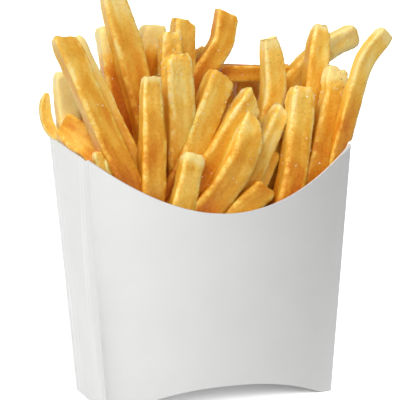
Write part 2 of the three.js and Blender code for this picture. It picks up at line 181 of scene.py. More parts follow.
def carton_mesh():
    """The outer wall, rim edge and inner wall as rings, and a grid on each face of the bottom."""
    panel = np.linspace(-1, 1, PANEL_STEPS + 1)
    panel = (1 - TOWARDS_CREASE) * panel + TOWARDS_CREASE * np.sin(panel * math.pi / 2)
    gusset = np.linspace(-1, 1, GUSSET_STEPS + 1)
    across = np.concatenate([panel[:-1], np.ones(GUSSET_STEPS), -panel[:-1], -np.ones(GUSSET_STEPS)])
    side = np.concatenate([-np.ones(PANEL_STEPS), gusset[:-1], np.ones(PANEL_STEPS), -gusset[:-1]])
    share = np.linspace(0, 1, WALL_STEPS + 1)[:, None]
    walls = []
    for inset in (0.0, BOARD):
        foot = arch_height(across) + inset
        walls.append(folded_skin(across, side, foot + (rim_height(across, side) - foot) * share, inset))
    rings = np.concatenate([walls[0], walls[1][::-1]])
    points, count = [rings.reshape(-1, 3)], len(across)
    quads = [ring_quads(len(rings), count)]
    used = len(rings) * count
    for ring, turned in ((0, True), (len(rings) - 1, False)):
        front = ring * count + np.arange(PANEL_STEPS + 1)
        back = ring * count + (2 * PANEL_STEPS + GUSSET_STEPS - np.arange(PANEL_STEPS + 1)) % count
        left = ring * count + (2 * PANEL_STEPS + 2 * GUSSET_STEPS - np.arange(GUSSET_STEPS + 1)) % count
        right = ring * count + PANEL_STEPS + np.arange(GUSSET_STEPS + 1)
        grid = np.empty((GUSSET_STEPS + 1, PANEL_STEPS + 1), int)
        grid[0], grid[-1], grid[:, 0], grid[:, -1] = front, back, left, right
        between = np.linspace(0, 1, GUSSET_STEPS + 1)[1:-1, None, None]
        near, far = points[0][front[1:-1]], points[0][back[1:-1]]
        inner = near + (far - near) * between
        points.append(inner.reshape(-1, 3))
        grid[1:-1, 1:-1] = used + np.arange(inner.shape[0] * inner.shape[1]).reshape(inner.shape[:2])
        used += inner.shape[0] * inner.shape[1]
        cells = np.stack([grid[:-1, :-1], grid[:-1, 1:], grid[1:, 1:], grid[1:, :-1]], axis=-1)
        quads.append((cells[..., ::-1] if turned else cells).reshape(-1, 4))
    return np.concatenate(points), np.concatenate(quads)


def placed(name, data):
    made = bpy.data.objects.new(name, data)
    bpy.context.scene.collection.objects.link(made)
    return made


def piece(name, points, faces, material):
    """A smooth shaded object in the row frame, from millimetre points about the carton's middle."""
    mesh = bpy.data.meshes.new(name)
    mesh.from_pydata(((points + MIDDLE) / METRE).tolist(), [], faces.tolist())
    mesh.shade_smooth()
    mesh.set_sharp_from_angle(angle=math.radians(SHARP))
    mesh.materials.append(material)
    return placed(name, mesh)


def linear(code):
    """An sRGB hex colour as linear red, green, blue and alpha."""
    shares = [int(code[i:i + 2], 16) / 255 for i in (1, 3, 5)]
    return [c / 12.92 if c <= 0.04045 else ((c + 0.055) / 1.055) ** 2.4 for c in shares] + [1.0]


def put(tree, kind, inputs=(), settings={}):
    """Adds a node: inputs are what its sockets get, by name or in order, settings its properties."""
    node = tree.nodes.new(kind)
    for name, value in settings.items():
        setattr(node, name, value)
    for key, value in inputs.items() if isinstance(inputs, dict) else enumerate(inputs):
        socket = node.inputs[key] if isinstance(key, int) else next(
            s for s in node.inputs if s.name == key and s.enabled)
        if isinstance(value, bpy.types.Node):
            value = next(s for s in value.outputs if s.enabled)
        if isinstance(value, bpy.types.NodeSocket):
            tree.links.new(value, socket)
        else:
            socket.default_value = value
    return node


def new_finish(name):
    finish = bpy.data.materials.new(name)
    finish.use_nodes = True
    finish.node_tree.nodes.clear()
    return finish, partial(put, finish.node_tree)


NOISE, BUMP, MIX = "ShaderNodeTexNoise", "ShaderNodeBump", "ShaderNodeMix"
PAPER_IOR = 1.5


def board_finish(name, colours, clouds, fibre, relief, strength, rough):
    """Board that clouds between two colours and is rough with its fibre; both by size and detail."""
    finish, add = new_finish(name)
    place = add("ShaderNodeTexCoord").outputs["Object"]
    cloud, grain = (add(NOISE, {"Vector": place, "Scale": METRE / size, "Detail": detail})
                    for size, detail in (clouds, fibre))
    pale, white = (linear(code) for code in colours)
    colour = add(MIX, {"Factor": cloud, "A": pale, "B": white}, {"data_type": "RGBA"})
    bump = add(BUMP, {"Strength": strength, "Distance": relief / METRE, "Height": grain})
    shader = add("ShaderNodeBsdfPrincipled",
                 {"Base Color": colour, "Roughness": rough, "IOR": PAPER_IOR, "Normal": bump})
    add("ShaderNodeOutputMaterial", {"Surface": shader})
    return finish


# Bleached board with a calendered clay coat: clean white, faintly cloudy, with a satin gloss
coated = board_finish("clay_coated_board", ("#EEEEED", "#F6F6F5"), clouds=(14.0, 3.0), fibre=(0.7, 2.0),
                      relief=0.04, strength=0.15, rough=0.5)
# Where the die cut the blank, the board's own fibre shows between its coats: matt, warm grey
bare_fibre = board_finish("cut_board_fibre", ("#CFC6BC", "#EDE8E1"), clouds=(1.5, 3.0), fibre=(1.5, 3.0),
                          relief=0.1, strength=0.4, rough=0.9)
carton = piece("carton_board", *carton_mesh(), coated)
carton.data.materials.append(bare_fibre)
around = 2 * (PANEL_STEPS + GUSSET_STEPS)
for face in carton.data.polygons[WALL_STEPS * around:(WALL_STEPS + 1) * around]:
    face.material_index = CUT_EDGE
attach(carton, "root")
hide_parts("carton")

# ---- Fries that stand out of the carton ----------------------------------------------------------
# Potatoes cut into sticks 3/8 inch square and fried twice: pale where thick, golden on the faces,
# toasted along what stood nearest the oil, blistered at the ends, and bent by their own weight. They
# were dropped in by the scoop, so they lean all ways and their feet are lost among each other.

FOOT_LEVEL, WALL_REACH, GAP = 52.0, 6.0, 0.4
UPRIGHT = 0.25                   # a fry that leaves the mouth flatter than this has no foot
RING, FOOT_RING, BURIED = 0.8, 3.0, 14.0   # spacing of its sections where it shows, and buried this deep
SECTION_POINTS = 48

# The end: a cut face with soft edges and a slight bulge
DOME, SOFT, SOFT_OVER, SOFTER = 0.4, 0.18, 2.5, 0.42
CAP = np.array([0.95, 0.86, 0.7, 0.48, 0.24, 0.03])   # widths of the sections that close it
PLAIN_END, PLAIN_TAPER, TAPER_ROUND = 0.8, 3.0, 2.2   # how much and how soon a fry narrows to its end
CHIP_OVER = 2.4

# How uneven a fry is: the height of each wave and its length along the fry
TWIST, TWIST_LENGTH = 5.0, 22.0  # degrees
SWAY, ACROSS_LENGTH, THROUGH_LENGTH = 0.3, 9.0, 11.0
SWAY_FROM, SWAY_UNTIL = 20.0, 8.0   # sways less than this far from the foot and from the end
SIZE, SIZE_WAVE, WIDE_LENGTH, THICK_LENGTH = 0.985, 0.025, 7.0, 8.0
SQUARE, SQUARE_WAVE, SQUARE_LENGTH = 4.8, 1.2, 11.0   # the power of the section's outline, 2 is round
TONE_WAVE, TONE_LENGTH = 0.05, 12.0

# How it is fried and painted: darker towards its foot, a painted shade where the packed bundle shades it;
# paler on the cut end, a painted highlight where the end faces the light; and crusty near the end
PAINTED_FOOT_SHADE, PAINTED_SHADE_FROM, PAINTED_SHADE_OVER = 0.45, 6.0, 45.0
PAINTED_LIT_TIP_REACH, PAINTED_LIT_TIP_OVER, PAINTED_LIT_TIP_EXTRA = 1.7, 1.5, 0.1     # in shares of a fry's own pale length, and tone
PAINTED_CUT_END_TONE, PAINTED_CUT_END_RATE = 0.22, 4
PLAIN_CRUST, LEAST_CRUST, CRUST_REACH, CRUST_OVER = 0.3, 0.35, 16.0, 12.0

# mouth: where it leaves the carton; tip: its end; waist: what a bent one passes through, or, with a
# corner, the bend between two straight lengths. wide and thick: its section. cut and rake: slants of
# its end in degrees, across and through. end and taper: width and length of a narrowed end. tone: 0
# is pale and 1 dark amber. pale: how far its tip is painted cream, painted light where the tip stands
# up in the light. crust: how blistered.
FRIES = [
    # Against the front panel
    dict(mouth=(3, -23, 71), tip=(16, -21, 81), wide=10.5, thick=8.5, cut=-8, tone=0.64, crust=0.3),
    dict(mouth=(-18, -24, 76), tip=(-12, -21, 95), wide=9.5, thick=7, end=0.75, taper=4, tone=0.6, pale=4),
    dict(mouth=(-9, -23, 74), waist=(7, -19, 93), tip=(13, -14, 107), wide=12, thick=9, cut=20,
         end=0.35, taper=14, tone=0.46, crust=0.35),
    dict(mouth=(24, -21, 76), waist=(32, -13, 99), tip=(35, -8, 115), wide=10.5, thick=9.5, end=0.75,
         taper=6, tone=0.4, crust=0.6),
    dict(mouth=(36, -17, 81), waist=(46, -10, 104), tip=(51, -4, 121), wide=10.5, thick=8, cut=5,
         taper=5, tone=0.4, pale=6, crust=0.9),
    dict(mouth=(-42, -17, 86), tip=(-43, -17, 95), wide=5, thick=5, tone=0.4),
    dict(mouth=(-28, -20, 84), waist=(-26, -15, 107), tip=(-25, -12, 122), wide=10, thick=8.5,
         end=0.74, taper=38, tone=0.46, pale=2),
    dict(mouth=(-37, -19, 86), tip=(-55, -4, 135), wide=10, thick=8.5, cut=24, rake=25, end=0.9,
         taper=6, roll=6, tone=0.42, crust=0.25),
    dict(mouth=(46.5, -17, 91), waist=(56.5, -16, 125), corner=6, tip=(66.3, -16.5, 135), wide=7.5, thick=6,
         end=0.8, taper=4, tone=0.32, pale=4),
    # Second row
    dict(mouth=(-9, -19, 85), tip=(15.5, -8, 111), wide=10.5, thick=8, cut=26, end=0.95, taper=5,
         tone=0.45, crust=0.5),
    dict(mouth=(10, -17, 81), tip=(28, -7, 107), wide=7.5, thick=8, cut=24, end=0.8, taper=5, tone=0.36,
         pale=2),
    dict(mouth=(-11, -13, 92), tip=(5, -4, 120), wide=11, thick=9.5, cut=10, end=0.88, tone=0.5, crust=0.4),
    dict(mouth=(-14, -11, 98), tip=(-13, -6, 129), wide=11.5, thick=9, cut=-5, end=0.72, taper=4,
         tone=0.36, crust=0.6),
    dict(mouth=(-34, -9, 96), tip=(-49, 4, 135), wide=7.5, thick=8, tone=0.24, pale=9),
    dict(mouth=(-45, -16, 88), tip=(-47, -16, 97), wide=5, thick=5, tone=0.35),
    dict(mouth=(46, -7, 82), tip=(49, -4, 88), wide=7, thick=6, tone=0.9),
    dict(mouth=(24, -2, 98), waist=(28, 2, 118), tip=(27, 4, 132.5), wide=9.5, thick=8, end=0.7,
         taper=14, tone=0.42, pale=4, crust=0.6),
    dict(mouth=(-42, -13, 90), tip=(-50, 13, 102), wide=12, thick=9, cut=-25, end=0.75, taper=8, tone=0.62),
    dict(mouth=(18, -13, 82), tip=(24, -11, 92), wide=5, thick=5, cut=20, end=0.7, taper=4, tone=0.4),
    # Middle
    dict(mouth=(-25, 4, 117), tip=(-34.5, 8, 156), wide=11.5, thick=9, end=0.68, taper=30, tone=0.36,
         pale=6, crust=0.4),
    dict(mouth=(-12, 3, 122), tip=(-11, 6, 136), wide=9, thick=8, tone=0.4, crust=1.0),
    dict(mouth=(44, 1, 110), tip=(50, 8, 136), wide=9, thick=8, end=0.6, taper=9, tone=0.5, pale=2),
    dict(mouth=(-21, 12, 115), tip=(-15, 12, 138), wide=9.5, thick=9, cut=-10, end=0.88, tone=0.72, pale=8),
    dict(mouth=(-29, 10, 103), tip=(-33, 14, 138), wide=9.5, thick=9, tone=0.72, pale=10),
    dict(mouth=(-4, 12, 120), tip=(-3, 14, 139), wide=9, thick=9, cut=17, end=0.95, taper=3, tone=0.52),
    dict(mouth=(3, 11, 119), waist=(14, 15, 131), corner=5, tip=(15, 16, 141), wide=9.5, thick=7.5,
         cut=18, end=0.95, taper=3, tone=0.62),
    dict(mouth=(39, 12, 113), waist=(52, 15, 123), tip=(70, 18, 130.5), wide=9.5, thick=8, tone=0.24),
    # Along the back panel and the left gusset
    dict(mouth=(-46, 19, 101), tip=(-46.5, 22, 121), wide=9.5, thick=8, tone=0.15, pale=5),
    dict(mouth=(-48, 16, 94), waist=(-54, 22, 103), tip=(-53, 23, 113), wide=5, thick=5, end=0.5,
         taper=6, tone=0.3),
    dict(mouth=(0, 13, 114), tip=(9, 19, 127), wide=8, thick=7, tone=0.6),
    dict(mouth=(12, 17, 118), tip=(42, 15, 117), wide=7, thick=8, tone=0.65),
    dict(mouth=(-39, 22, 100), tip=(-40, 24, 112), wide=9, thick=8, roll=10, tone=0.4),
    dict(mouth=(-24, 26, 108), tip=(-21, 24, 131), wide=9, thick=9, roll=-10, tone=0.5, crust=0.4),
    dict(mouth=(-5, 27, 111), tip=(-1, 26, 128), wide=10.5, thick=8, tone=0.45, pale=4),
    dict(mouth=(15, 26, 106), tip=(17, 24, 118), wide=11, thick=8, roll=20, tone=0.55, crust=0.5),
    dict(mouth=(27, 28, 102), tip=(28, 26, 116), wide=11.5, thick=8, roll=10, tone=0.6),
    dict(mouth=(44, 22, 105), tip=(51, 24, 119), wide=9, thick=8, roll=20, tone=0.5),
]
draw = np.random.default_rng(38)


def unit(v):
    return v / np.linalg.norm(v, axis=-1, keepdims=True)


def foot_of(mouth, along):
    """Where a fry's foot goes: on along its line to the foot level, but clear of the walls."""
    foot = mouth + along * (FOOT_LEVEL - mouth[2]) / along[2]
    reach = half_width(FOOT_LEVEL)
    foot[0] = np.clip(foot[0], WALL_REACH - reach, reach - WALL_REACH)
    room = panel_reach(foot[0] / reach, FOOT_LEVEL) - WALL_REACH
    foot[1] = np.clip(foot[1], LEAN_BACK * rise(FOOT_LEVEL) - room, LEAN_BACK * rise(FOOT_LEVEL) + room)
    return foot


def wander(distance, step):
    """A gentle seeded wave of about unit height along a fry."""
    turns = draw.uniform(0, 2 * math.pi, 2)
    return 0.6 * np.sin(distance / step + turns[0]) + 0.4 * np.sin(2.3 * distance / step + turns[1])


def fry_curve(fry):
    """Points from a fry's mouth to its tip: through its waist, or straight on both sides of a corner."""
    start, stop = np.array(fry["mouth"], float), np.array(fry["tip"], float)
    bend = np.array(fry.get("waist", (start + stop) / 2), float)
    t = np.linspace(0, 1, 200)[:, None]
    if "corner" in fry:
        first = bend + unit(start - bend) * fry["corner"]
        last = bend + unit(stop - bend) * fry["corner"]
        arc = (1 - t) ** 2 * first + 2 * t * (1 - t) * bend + t ** 2 * last
        return np.concatenate([start + (first - start) * t[:-1], arc, last + (stop - last) * t[1:]])
    before, after = np.linalg.norm(bend - start), np.linalg.norm(stop - bend)
    share = before / (before + after)
    pull = (bend - (1 - share) ** 2 * start - share ** 2 * stop) / (2 * share * (1 - share))
    return (1 - t) ** 2 * start + 2 * t * (1 - t) * pull + t ** 2 * stop


def fry_sections(fry):
    """Middles and directions of a fry's sections from foot to end, and how far along it each lies."""
    spine = fry_curve(fry)
    start, stop = spine[0], spine[-1]
    first = unit(spine[1] - start)
    if first[2] > UPRIGHT:
        spine = np.concatenate([np.linspace(foot_of(start, first), start, 60)[:-1], spine])
    # Even steps along the line, softened where foot and stick meet
    travel = np.concatenate([[0], np.cumsum(np.linalg.norm(np.diff(spine, axis=0), axis=1))])
    even = np.linspace(0, travel[-1], int(travel[-1] / (RING / 2)) + 1)
    middles = np.stack([np.interp(even, travel, spine[:, i]) for i in range(3)], axis=1)
    for _ in range(40):
        middles[1:-1] = (middles[:-2] + 2 * middles[1:-1] + middles[2:]) / 4
    bare = even[-1] - np.linalg.norm(stop - start) if first[2] > UPRIGHT else 0.0
    hidden = max(0.0, bare - BURIED)
    length = even[-1] - DOME
    showing = np.arange(hidden, length - RING / 2, RING)
    where = np.concatenate([np.arange(0, hidden, FOOT_RING), showing, [length]])
    middle = np.stack([np.interp(where, even, middles[:, i]) for i in range(3)], axis=1)
    return middle, unit(np.gradient(middle, where, axis=0)), where


def fry_axis(fry):
    """A fry's sections from foot to end: middles, directions, sizes and how each is fried, with painted shade
    and light in its tone.
    """
    middle, along, where = fry_sections(fry)
    # The cut end: sections that shrink to a point over a low dome
    middle = np.concatenate([middle, middle[-1] + along[-1] * DOME * np.sqrt(1 - CAP ** 2)[:, None]])
    on_cap = np.concatenate([np.zeros(len(where)), 1 - CAP])
    along, where = (np.concatenate([rows, np.repeat(rows[-1:], len(CAP), axis=0)]) for rows in (along, where))
    from_tip = where[-1] - where

    taper, end = fry.get("taper", PLAIN_TAPER), fry.get("end", PLAIN_END)
    near = np.clip((where - where[-1] + taper) / taper, 0, 1)
    scale = (1 - (1 - end) * near ** TAPER_ROUND) * (1 - on_cap)
    slopes = [math.tan(math.radians(fry.get(key, 0.0))) for key in ("cut", "rake")]
    reach = max(3.0, 0.8 * (abs(slopes[0]) * fry["wide"] + abs(slopes[1]) * fry["thick"]))
    slanted = smooth((reach - from_tip) / reach)
    soft = SOFT * smooth((SOFT_OVER - from_tip) / SOFT_OVER) + SOFTER * on_cap

    turn = np.radians(fry.get("roll", 0.0) + TWIST * wander(where, TWIST_LENGTH))[:, None]
    face = unit(np.array([0.0, -1.0, 0.0]) + along * along[:, 1:2])
    across = np.cross(face, along)
    face, across = face * np.cos(turn) - across * np.sin(turn), across * np.cos(turn) + face * np.sin(turn)
    sway = SWAY * smooth(where / SWAY_FROM) * smooth(from_tip / SWAY_UNTIL)
    middle = middle + across * (sway * wander(where, ACROSS_LENGTH))[:, None]
    middle = middle + face * (sway * wander(where, THROUGH_LENGTH))[:, None]
    half_wide = fry["wide"] / 2 * scale * (SIZE + SIZE_WAVE * wander(where, WIDE_LENGTH))
    half_thick = fry["thick"] / 2 * scale * (SIZE + SIZE_WAVE * wander(where, THICK_LENGTH))
    power = SQUARE + SQUARE_WAVE * wander(where, SQUARE_LENGTH)

    pale = fry.get("pale", 0.0)
    tone = fry["tone"] + TONE_WAVE * wander(where, TONE_LENGTH)
    # Painted shade: the tone darkens towards the foot, where the packed bundle shades the fry
    tone = tone + PAINTED_FOOT_SHADE * smooth((from_tip - PAINTED_SHADE_FROM) / PAINTED_SHADE_OVER)
    # Painted light: the tip is painted cream, where it stands up in the light above the bundle
    if pale:
        painted_lit_tip = smooth((pale * PAINTED_LIT_TIP_REACH - from_tip) / (pale * PAINTED_LIT_TIP_OVER))
        tone = tone - (fry["tone"] + PAINTED_LIT_TIP_EXTRA) * painted_lit_tip
    # Painted highlight: the cut end, which faces the light, is painted paler
    tone = tone + (np.minimum(tone, PAINTED_CUT_END_TONE) - tone) * smooth(on_cap * PAINTED_CUT_END_RATE)
    blistered = LEAST_CRUST + (1 - LEAST_CRUST) * smooth((CRUST_REACH - from_tip) / CRUST_OVER)
    crust = fry.get("crust", PLAIN_CRUST) * blistered
    chip = smooth((CHIP_OVER - from_tip) / CHIP_OVER)
    return dict(middle=middle, along=along, across=across, face=face, half_wide=half_wide,
                half_thick=half_thick, slant=slopes[0] * slanted, rake=slopes[1] * slanted, soft=soft,
                distance=where, power=power, chip=chip, tone=tone, crust=crust)


def axes_object(name, fries):
    """A mesh of bare lines, one along each fry, with what its sections need as attributes."""
    paths = [fry_axis(fry) for fry in fries]
    shifts = draw.uniform(-1, 1, (len(paths), 3))
    joined = {key: np.concatenate([path[key] for path in paths]) for key in paths[0]}
    repeated = [np.repeat(shift[None], len(path["tone"]), axis=0) for shift, path in zip(shifts, paths)]
    joined["shift"] = np.concatenate(repeated)
    edges, first = [], 0
    for path in paths:
        count = len(path["tone"])
        edges += [(first + i, first + i + 1) for i in range(count - 1)]
        first += count
    mesh = bpy.data.meshes.new(name)
    mesh.from_pydata(((joined.pop("middle") + MIDDLE) / METRE).tolist(), edges, [])
    for key, values in joined.items():
        if key in ("half_wide", "half_thick", "distance"):
            values = values / METRE
        kind, field = ("FLOAT_VECTOR", "vector") if values.ndim == 2 else ("FLOAT", "value")
        mesh.attributes.new(key, kind, "POINT").data.foreach_set(field, values.astype(np.float32).ravel())
    return placed(name, mesh)


MATH, VECTOR_MATH, VORONOI = "ShaderNodeMath", "ShaderNodeVectorMath", "ShaderNodeTexVoronoi"
READ, STORE = "GeometryNodeInputNamedAttribute", "GeometryNodeStoreNamedAttribute"
ADD, SUBTRACT, MULTIPLY, DIVIDE, POWER, ABSOLUTE, SCALE, GREATER = (
    {"operation": name} for name in
    ("ADD", "SUBTRACT", "MULTIPLY", "DIVIDE", "POWER", "ABSOLUTE", "SCALE", "GREATER_THAN"))
POINT_NUMBER = {"data_type": "FLOAT", "domain": "POINT"}
POINT_VECTOR = {"data_type": "FLOAT_VECTOR", "domain": "POINT"}
FRY_INPUTS = {"Lines": "Geometry", "Section points": SECTION_POINTS, "Face dip": 0.05,
              "Chip size": 3.4 / METRE, "Chip depth": 2.4 / METRE,
              "Lump size": 6.0 / METRE, "Lump depth": 0.8 / METRE,
              "Ripple size": 2.6 / METRE, "Ripple depth": 0.16 / METRE,
              "Blister size": 1.9 / METRE, "Blister depth": 0.8 / METRE, "Finish": "Material"}
CHIP_LEVEL, LUMP_LEVEL = 0.4, 0.35   # noise below these stands proud of the plain form


def new_tree(name, sockets, result):
    """A Geometry Nodes tree with its sockets, what adds nodes to it, and what it is given."""
    tree = bpy.data.node_groups.new(name, "GeometryNodeTree")
    for title, value in sockets.items():
        kind = value if isinstance(value, str) else {int: "Int", float: "Float"}[type(value)]
        socket = tree.interface.new_socket(title, in_out="INPUT", socket_type="NodeSocket" + kind)
        if kind != value:
            socket.default_value = value
    tree.interface.new_socket(result, in_out="OUTPUT", socket_type="NodeSocketGeometry")
    add = partial(put, tree)
    return tree, add, add("NodeGroupInput").outputs


def fry_tree():
    """Geometry Nodes: a square section with rounded corners and sunken faces is swept along each line,
    and the skin is drawn in by broad lumps and, where it is crusty, between small blisters."""
    tree, add, given = new_tree("fry_along_its_line", FRY_INPUTS, "Fries")
    number = {name: add(READ, {"Name": name}, {"data_type": "FLOAT"}) for name in
              ("power", "soft", "half_wide", "half_thick", "slant", "rake", "chip", "distance", "crust")}
    vector = {name: add(READ, {"Name": name}, {"data_type": "FLOAT_VECTOR"}) for name in
              ("middle", "round", "shift", "across", "face", "along")}

    place = add("GeometryNodeInputPosition")
    lines = add("GeometryNodeMeshToCurve", {"Mesh": given["Lines"]})
    lines = add(STORE, {"Geometry": lines, "Name": "middle", "Value": place}, POINT_VECTOR)
    ring = add("GeometryNodeCurvePrimitiveCircle", {"Resolution": given["Section points"], "Radius": 1.0})
    ring = add(STORE, {"Geometry": ring, "Name": "round", "Value": place}, POINT_VECTOR)
    swept = add("GeometryNodeCurveToMesh", {"Curve": lines, "Profile Curve": ring, "Fill Caps": True})

    # The section: a circle drawn out to a square with rounded corners, its faces dipped
    around = add("ShaderNodeSeparateXYZ", {"Vector": vector["round"]})
    sides = (around.outputs["X"], around.outputs["Y"])
    spans = [add(MATH, (side,), ABSOLUTE) for side in sides]
    powers = [add(MATH, (span, number["power"]), POWER) for span in spans]
    root = add(MATH, (-1.0, number["power"]), DIVIDE)
    square = add(MATH, (add(MATH, powers, ADD), root), POWER)
    squares = [add(MATH, (side, side), MULTIPLY) for side in sides]
    apart = add(MATH, squares, SUBTRACT)
    on_face = add(MATH, (apart, apart), MULTIPLY)
    dip = add(MATH, (on_face, given["Face dip"]), MULTIPLY)
    dip = add(MATH, (1.0, dip), SUBTRACT)
    dipped = add(MATH, (square, dip), MULTIPLY)
    reach = add(MIX, {"Factor": number["soft"], "A": dipped, "B": 1.0}, {"data_type": "FLOAT"})
    reached = [add(MATH, (side, reach), MULTIPLY) for side in sides]
    wide = add(MATH, (reached[0], number["half_wide"]), MULTIPLY)
    thick = add(MATH, (reached[1], number["half_thick"]), MULTIPLY)
    cut = add(MATH, (wide, number["slant"]), MULTIPLY)
    raked = add(MATH, (thick, number["rake"]), MULTIPLY)
    endwise = add(MATH, (cut, raked), ADD)

    # The end is chipped back unevenly
    corner = add("ShaderNodeCombineXYZ", {"X": wide, "Y": thick})
    corner = add(VECTOR_MATH, (corner, vector["shift"]), ADD)
    scale = add(MATH, (1.0, given["Chip size"]), DIVIDE)
    bite = add(NOISE, {"Vector": corner, "Scale": scale, "Detail": 2.0})
    bite = add(MATH, (bite, CHIP_LEVEL), SUBTRACT)
    for share in (given["Chip depth"], number["chip"]):
        bite = add(MATH, (bite, share), MULTIPLY)
    endwise = add(MATH, (endwise, bite), SUBTRACT)

    moved = vector["middle"]
    for name, step in (("across", wide), ("face", thick), ("along", endwise)):
        scaled = add(VECTOR_MATH, {0: vector[name], "Scale": step}, SCALE)
        moved = add(VECTOR_MATH, (moved, scaled), ADD)
    skin = add("GeometryNodeSetPosition", {"Geometry": swept, "Position": moved})
    edge = add(MATH, (1.0, on_face), SUBTRACT)
    skin = add(STORE, {"Geometry": skin, "Name": "edge", "Value": edge}, POINT_NUMBER)
    stick = add("ShaderNodeCombineXYZ", {"X": wide, "Y": thick, "Z": number["distance"]})
    stick = add(VECTOR_MATH, (stick, vector["shift"]), ADD)
    skin = add(STORE, {"Geometry": skin, "Name": "stick", "Value": stick}, POINT_VECTOR)

    # Relief, nearly all inwards: name, texture, its settings, the level where it starts, and its share
    spot = add(VECTOR_MATH, (place, vector["shift"]), ADD)
    reliefs = (("Lump", NOISE, {}, {"Detail": 1.0}, LUMP_LEVEL, 1.0),
               ("Ripple", NOISE, {}, {"Detail": 1.5}, 0.0, 1.0),
               ("Blister", VORONOI, {"feature": "SMOOTH_F1"}, {"Smoothness": 0.35}, 0.0, number["crust"]))
    sunk = 0.0
    for name, texture, settings, details, level, share in reliefs:
        scale = add(MATH, (1.0, given[name + " size"]), DIVIDE)
        dent = add(texture, {"Vector": spot, "Scale": scale, **details}, settings)
        dent = add(MATH, (dent, level), SUBTRACT)
        for factor in (given[name + " depth"], share):
            dent = add(MATH, (dent, factor), MULTIPLY)
        sunk = add(MATH, (sunk, dent), ADD)
    inward = add(MATH, (sunk, -1.0), MULTIPLY)
    normal = add("GeometryNodeInputNormal")
    pushed = add(VECTOR_MATH, {0: normal, "Scale": inward}, SCALE)
    skin = add("GeometryNodeSetPosition", {"Geometry": skin, "Offset": pushed})
    skin = add("GeometryNodeSetShadeSmooth", {"Geometry": skin})
    skin = add("GeometryNodeRealizeInstances", {"Geometry": skin})
    skin = add("GeometryNodeSetMaterial", {"Geometry": skin, "Material": given["Finish"]})
    add("NodeGroupOutput", {"Fries": skin})
    return tree


def grown(name, carrier, tree, values):
    """The plain mesh that a Geometry Nodes tree makes on a carrier, which is then removed."""
    modifier = carrier.modifiers.new(name, "NODES")
    modifier.node_group = tree
    for socket in tree.interface.items_tree:
        if socket.name in values:
            modifier[socket.identifier] = values[socket.name]
    carrier.update_tag()
    ready = carrier.evaluated_get(bpy.context.evaluated_depsgraph_get())
    mesh = bpy.data.meshes.new_from_object(ready)
    carrier.modifiers.remove(modifier)
    bpy.data.objects.remove(carrier)
    mesh.name = name
    return placed(name, mesh)


RIM_EASE = 1.5                   # height above the rim over which a pressed fry takes its own form again


def press_clear_of_board(made):
    """A fry that leans on the carton is flattened against the board below its rim."""
    mesh = made.data
    places = np.empty(len(mesh.vertices) * 3, np.float32)
    mesh.vertices.foreach_get("co", places)
    points = places.reshape(-1, 3).astype(float) * METRE - MIDDLE
    z = points[:, 2]
    widest = half_width(z) - (BOARD + GAP + FOLD_IN)
    across = np.clip(points[:, 0] / half_width(z), -1, 1)
    centre = LEAN_BACK * rise(z)
    front, back = (panel_reach(across, z) - pressed_in(across, way, z) - BOARD - GAP for way in (-1, 1))
    side = np.clip((points[:, 1] - centre) / (depth(z) / 2), -0.999, 0.999)
    panel = np.where(points[:, 1] < centre, -1.0, 1.0)
    under_x = 1 - smooth((z - rim_height(np.sign(across), side)) / RIM_EASE)
    under_y = 1 - smooth((z - rim_height(across, panel)) / RIM_EASE)
    points[:, 0] += (np.clip(points[:, 0], -widest, widest) - points[:, 0]) * under_x
    points[:, 1] += (np.clip(points[:, 1], centre - front, centre + back) - points[:, 1]) * under_y
    mesh.vertices.foreach_set("co", ((points + MIDDLE) / METRE).astype(np.float32).ravel())
    mesh.update()


# Browning from cream through gold to amber, and what the crust's blisters toast to
BROWNING = ((0.0, "#F9E69E"), (0.25, "#F5D064"), (0.5, "#E9B038"), (0.75, "#D88712"), (1.0, "#B65406"))
TOASTED = "#96540F"
OIL_IOR, SKIN_WRINKLE, LIGHT_DEPTH = 1.46, 0.35, 2.0
BAND_STRETCH = 0.2               # a band is five times as long as it is wide
SPAN = ("From Min", "From Max", "To Min", "To Max")


